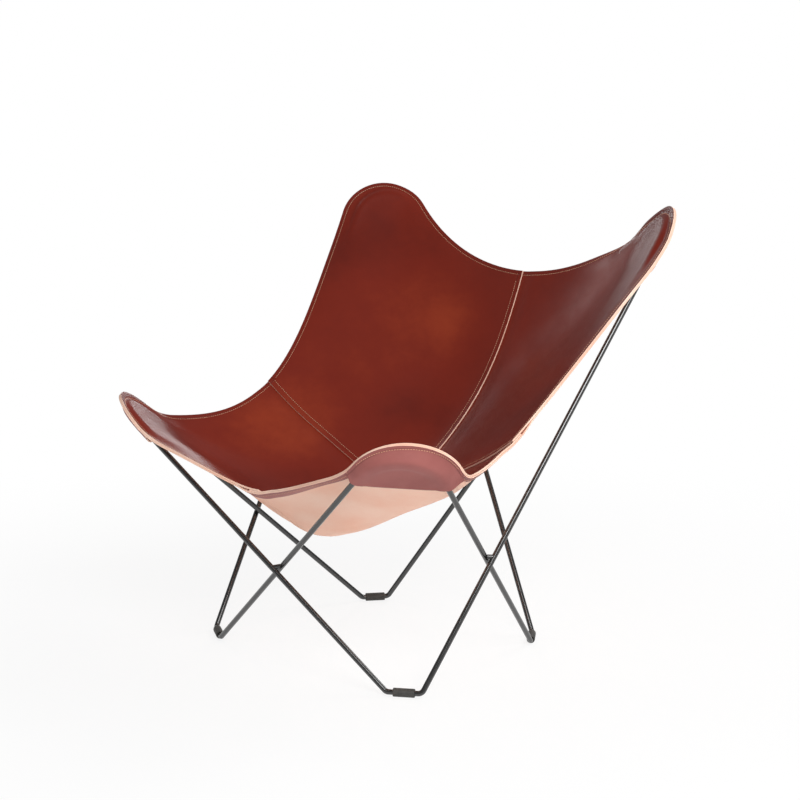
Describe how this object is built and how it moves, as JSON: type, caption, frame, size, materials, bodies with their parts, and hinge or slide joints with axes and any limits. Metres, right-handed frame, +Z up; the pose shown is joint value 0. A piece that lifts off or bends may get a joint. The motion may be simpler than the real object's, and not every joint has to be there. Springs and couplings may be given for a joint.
{
  "type": "butterfly sling chair",
  "caption": "Lounge chair of bent steel rod: crossed loops with raised rounded humps that carry a sewn leather sling by its corner pockets.",
  "frame": {"origin": "on the floor under the middle of the chair's overall width and depth", "axes": "+Z up, -Y the way the sitter faces, +X the sitter's left"},
  "size_m": [0.9401, 0.887, 0.9208],
  "materials": {
    "lacquered_rod": "satin black lacquer on steel rod",
    "sleeve_plastic": "matt dark grey moulded sleeve",
    "panel_leather": "smooth red-brown saddle leather, raw tan underside",
    "under_leather": "smooth brown leather, second layer"
  },
  "bodies": {
    "root": {"rod_back_right": "lacquered_rod", "rod_back_left": "lacquered_rod", "rod_front_left": "lacquered_rod", "rod_front_right": "lacquered_rod", "sleeve_front_right": "sleeve_plastic", "sleeve_front_left": "sleeve_plastic", "sleeve_back_left": "sleeve_plastic", "sleeve_back_right": "sleeve_plastic", "weld_front": "lacquered_rod", "weld_right": "lacquered_rod", "weld_left": "lacquered_rod", "weld_back": "lacquered_rod", "panel_back_left": "panel_leather", "panel_back_right": "panel_leather", "panel_front_left": "panel_leather", "panel_front_right": "panel_leather", "pocket_back_left": "under_leather", "pocket_back_right": "under_leather", "pocket_front_left": "under_leather", "pocket_front_right": "under_leather", "band_front": "under_leather", "band_right": "under_leather", "band_back": "under_leather", "band_left": "under_leather"}
  },
  "joints": []
}
